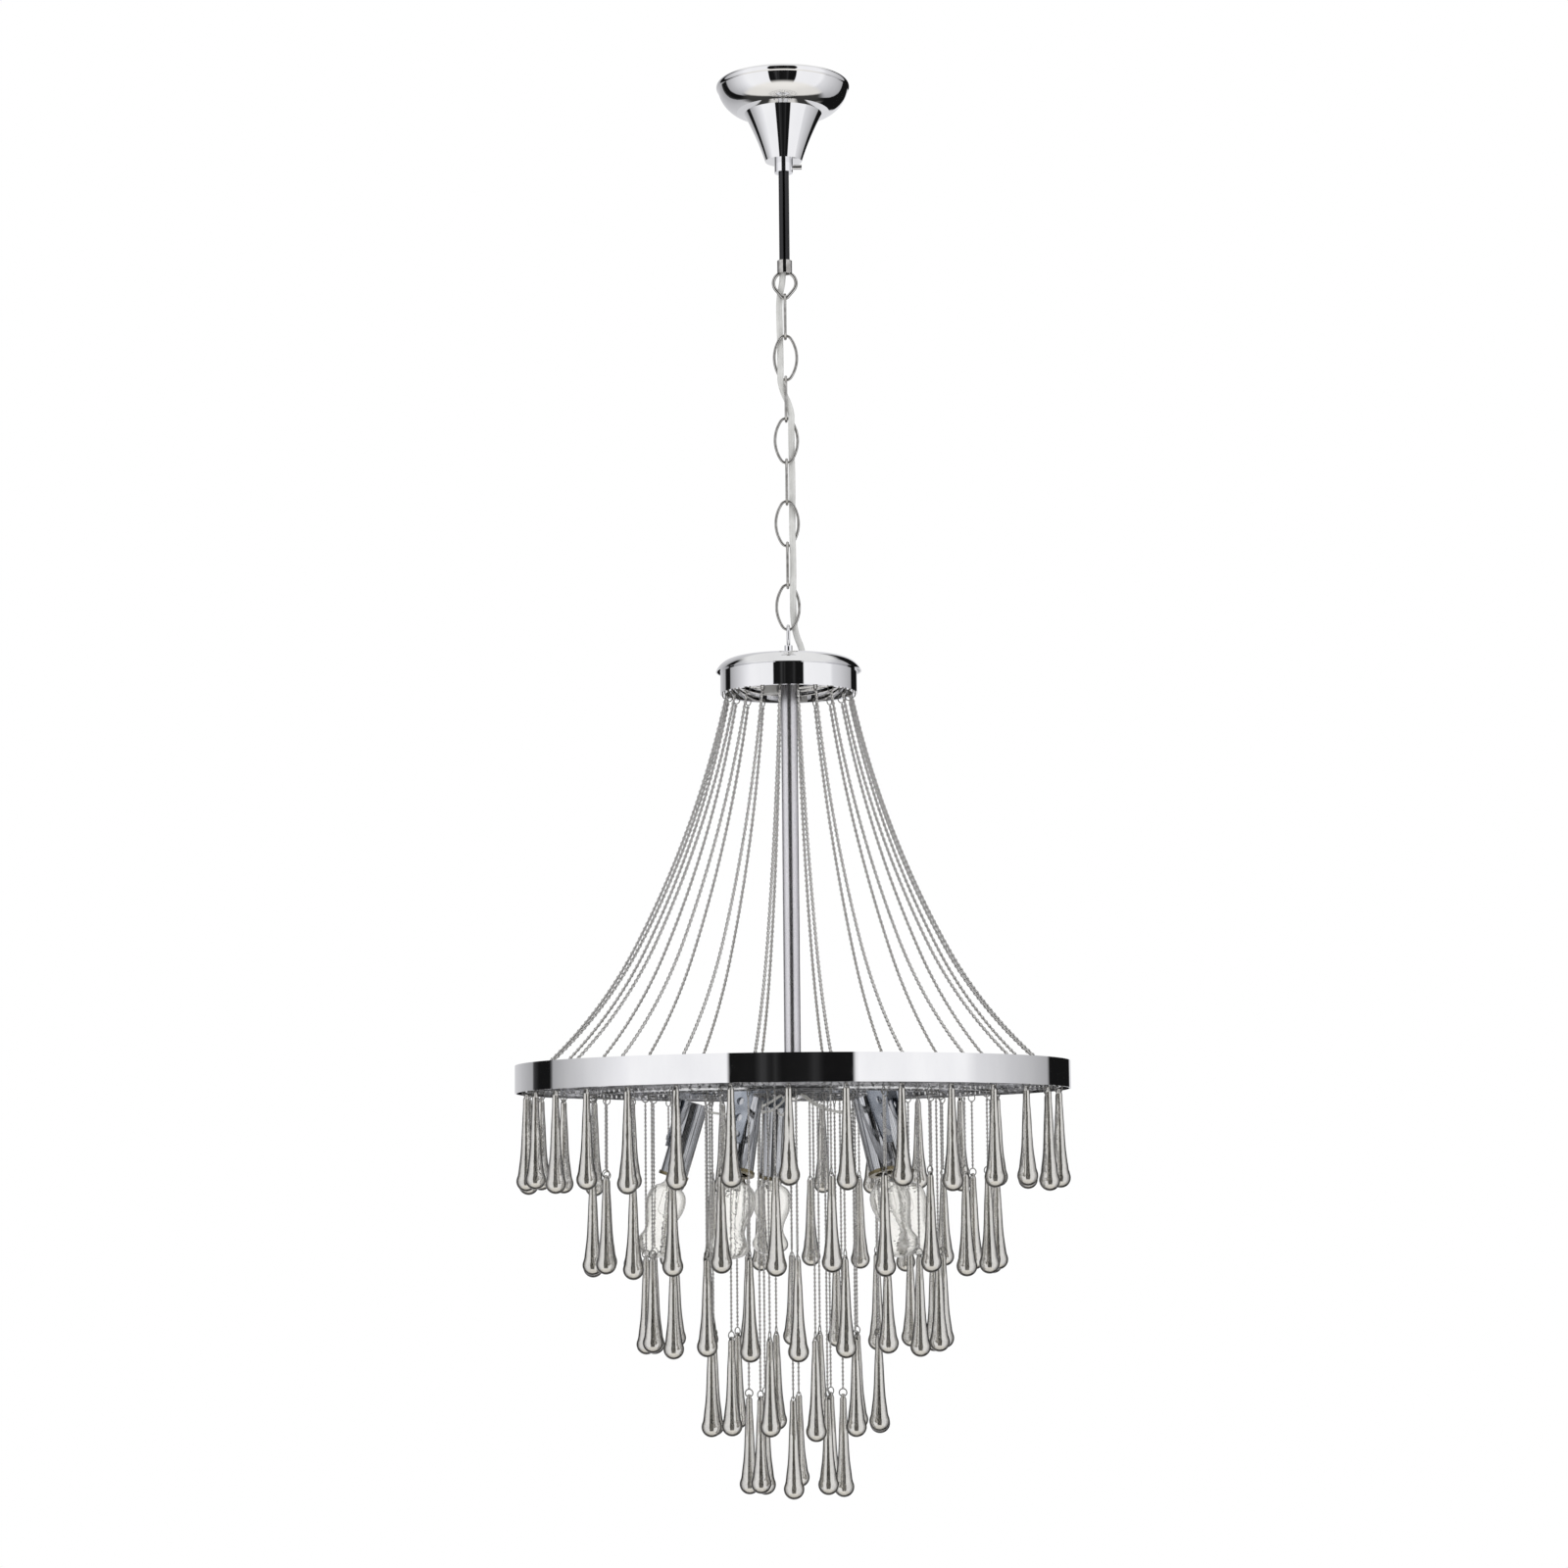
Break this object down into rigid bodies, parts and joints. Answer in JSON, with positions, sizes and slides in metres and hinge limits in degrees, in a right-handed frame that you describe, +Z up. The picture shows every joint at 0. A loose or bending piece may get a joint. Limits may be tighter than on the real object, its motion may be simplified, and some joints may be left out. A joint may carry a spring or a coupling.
{
  "type": "chandelier",
  "caption": "Ceiling chandelier: chrome canopy, stem and oval-link chain, crown with draped strands to a wide ring, stepped tiers of glass teardrop pendants around candle lamps.",
  "frame": {"origin": "on the ceiling plane, at the canopy axis, where the bracket is screwed on", "axes": "+Z up along the hanging axis, -Y towards the viewer of the picture, +X to the right of the picture"},
  "size_m": [0.4999, 0.5, 1.2962],
  "materials": {
    "chrome": "polished chrome plate",
    "holder_chrome": "polished chrome plate",
    "strand_chrome": "fine faceted chain, bright",
    "hook_wire": "bright steel wire",
    "bracket_steel": "zinc plated steel",
    "terminal_plastic": "white nylon",
    "cable_jacket": "pale translucent PVC jacket",
    "grommet_plastic": "black nylon",
    "bulb_glass": "clear blown glass",
    "bulb_mount_glass": "glass foot with metal leads",
    "brass_cap": "polished brass",
    "lead_jacket": "thin flexible leads",
    "crystal_glass": "clear polished solid glass"
  },
  "bodies": {
    "ceiling_mount": {"ceiling_bracket": "bracket_steel", "stem_nuts": "bracket_steel", "terminal_block": "terminal_plastic", "stem_tube": "chrome", "stem_loop": "chrome", "supply_cable": "cable_jacket"},
    "canopy": {"canopy": "chrome", "canopy_collar": "chrome", "collar_screw": "chrome"},
    "link_1": {"chain_link_1": "chrome"},
    "link_2": {"chain_link_2": "chrome"},
    "link_3": {"chain_link_3": "chrome"},
    "link_4": {"chain_link_4": "chrome"},
    "link_5": {"chain_link_5": "chrome"},
    "link_6": {"chain_link_6": "chrome"},
    "link_7": {"chain_link_7": "chrome"},
    "link_8": {"chain_link_8": "chrome"},
    "chandelier": {"crown_eye": "chrome", "crown_lid": "chrome", "crown_band": "chrome", "crown_coupling": "chrome", "crown_connector": "terminal_plastic", "cable_grommet": "grommet_plastic", "drape_strands": "strand_chrome", "strand_hooks": "hook_wire", "main_ring": "chrome", "frame_ring_1": "chrome", "frame_ring_2": "chrome", "frame_ring_3": "chrome", "frame_ring_4": "chrome", "frame_ring_5": "chrome", "frame_spokes": "chrome", "hub_plate": "chrome", "hub_nut": "chrome", "centre_tube": "chrome", "lamp_brackets": "holder_chrome", "lamp_screws": "holder_chrome", "lamp_holders": "holder_chrome", "lamp_rims": "brass_cap", "bulb_caps": "brass_cap", "bulb_glasses": "bulb_glass", "bulb_filaments": "bulb_mount_glass", "lamp_wires": "lead_jacket", "drop_hooks_1": "hook_wire", "drop_hooks_2": "hook_wire", "drop_hooks_3": "hook_wire", "drop_hooks_4": "hook_wire", "drop_hooks_5": "hook_wire", "drops_tier_1": "crystal_glass", "drops_tier_2": "crystal_glass", "drops_tier_3": "crystal_glass", "drops_tier_4": "crystal_glass"},
    "tip_drop_1": {"tip_drop_1": "crystal_glass"},
    "tip_drop_2": {"tip_drop_2": "crystal_glass"},
    "tip_drop_3": {"tip_drop_3": "crystal_glass"},
    "tip_drop_4": {"tip_drop_4": "crystal_glass"},
    "tip_drop_5": {"tip_drop_5": "crystal_glass"},
    "tip_drop_6": {"tip_drop_6": "crystal_glass"},
    "tip_drop_7": {"tip_drop_7": "crystal_glass"},
    "tip_drop_8": {"tip_drop_8": "crystal_glass"}
  },
  "joints": [
    {"name": "canopy_slide", "type": "slide", "parent": "ceiling_mount", "child": "canopy", "axis": [0, 0, 1], "range_m": [-0.08, 0]},
    {"name": "link_1_swing", "type": "hinge", "parent": "ceiling_mount", "child": "link_1", "pos_m": [0, 0, -0.2009], "axis": [0, 1, 0], "range_deg": [-15, 15], "deforming": ["supply_cable"]},
    {"name": "link_2_swing", "type": "hinge", "parent": "link_1", "child": "link_2", "pos_m": [0, 0, -0.2398], "axis": [1, 0, 0], "range_deg": [-15, 15], "deforming": ["supply_cable"]},
    {"name": "link_3_swing", "type": "hinge", "parent": "link_2", "child": "link_3", "pos_m": [0, 0, -0.2787], "axis": [0, 1, 0], "range_deg": [-15, 15], "deforming": ["supply_cable"]},
    {"name": "link_4_swing", "type": "hinge", "parent": "link_3", "child": "link_4", "pos_m": [0, 0, -0.3176], "axis": [1, 0, 0], "range_deg": [-15, 15], "deforming": ["supply_cable"]},
    {"name": "link_5_swing", "type": "hinge", "parent": "link_4", "child": "link_5", "pos_m": [0, 0, -0.3565], "axis": [0, 1, 0], "range_deg": [-15, 15], "deforming": ["supply_cable"]},
    {"name": "link_6_swing", "type": "hinge", "parent": "link_5", "child": "link_6", "pos_m": [0, 0, -0.3954], "axis": [1, 0, 0], "range_deg": [-15, 15], "deforming": ["supply_cable"]},
    {"name": "link_7_swing", "type": "hinge", "parent": "link_6", "child": "link_7", "pos_m": [0, 0, -0.4343], "axis": [0, 1, 0], "range_deg": [-15, 15], "deforming": ["supply_cable"]},
    {"name": "link_8_swing", "type": "hinge", "parent": "link_7", "child": "link_8", "pos_m": [0, 0, -0.4732], "axis": [1, 0, 0], "range_deg": [-15, 15], "deforming": ["supply_cable"]},
    {"name": "crown_swing", "type": "hinge", "parent": "link_8", "child": "chandelier", "pos_m": [0, 0, -0.5118], "axis": [0, 1, 0], "range_deg": [-15, 15], "deforming": ["supply_cable"]},
    {"name": "tip_drop_1_swing", "type": "hinge", "parent": "chandelier", "child": "tip_drop_1", "pos_m": [-0.00256, -0.04192, -1.20436], "axis": [-0.9981, 0.061, 0], "range_deg": [-8, 25]},
    {"name": "tip_drop_2_swing", "type": "hinge", "parent": "chandelier", "child": "tip_drop_2", "pos_m": [0.02783, -0.03146, -1.20436], "axis": [-0.749, -0.6626, 0], "range_deg": [-8, 25]},
    {"name": "tip_drop_3_swing", "type": "hinge", "parent": "chandelier", "child": "tip_drop_3", "pos_m": [0.04192, -0.00256, -1.20436], "axis": [-0.061, -0.9981, 0], "range_deg": [-8, 25]},
    {"name": "tip_drop_4_swing", "type": "hinge", "parent": "chandelier", "child": "tip_drop_4", "pos_m": [0.03146, 0.02783, -1.20436], "axis": [0.6626, -0.749, 0], "range_deg": [-8, 25]},
    {"name": "tip_drop_5_swing", "type": "hinge", "parent": "chandelier", "child": "tip_drop_5", "pos_m": [0.00256, 0.04192, -1.20436], "axis": [0.9981, -0.061, 0], "range_deg": [-8, 25]},
    {"name": "tip_drop_6_swing", "type": "hinge", "parent": "chandelier", "child": "tip_drop_6", "pos_m": [-0.02783, 0.03146, -1.20436], "axis": [0.749, 0.6626, 0], "range_deg": [-8, 25]},
    {"name": "tip_drop_7_swing", "type": "hinge", "parent": "chandelier", "child": "tip_drop_7", "pos_m": [-0.04192, 0.00256, -1.20436], "axis": [0.061, 0.9981, 0], "range_deg": [-8, 25]},
    {"name": "tip_drop_8_swing", "type": "hinge", "parent": "chandelier", "child": "tip_drop_8", "pos_m": [-0.03146, -0.02783, -1.20436], "axis": [-0.6626, 0.749, 0], "range_deg": [-8, 25]}
  ]
}
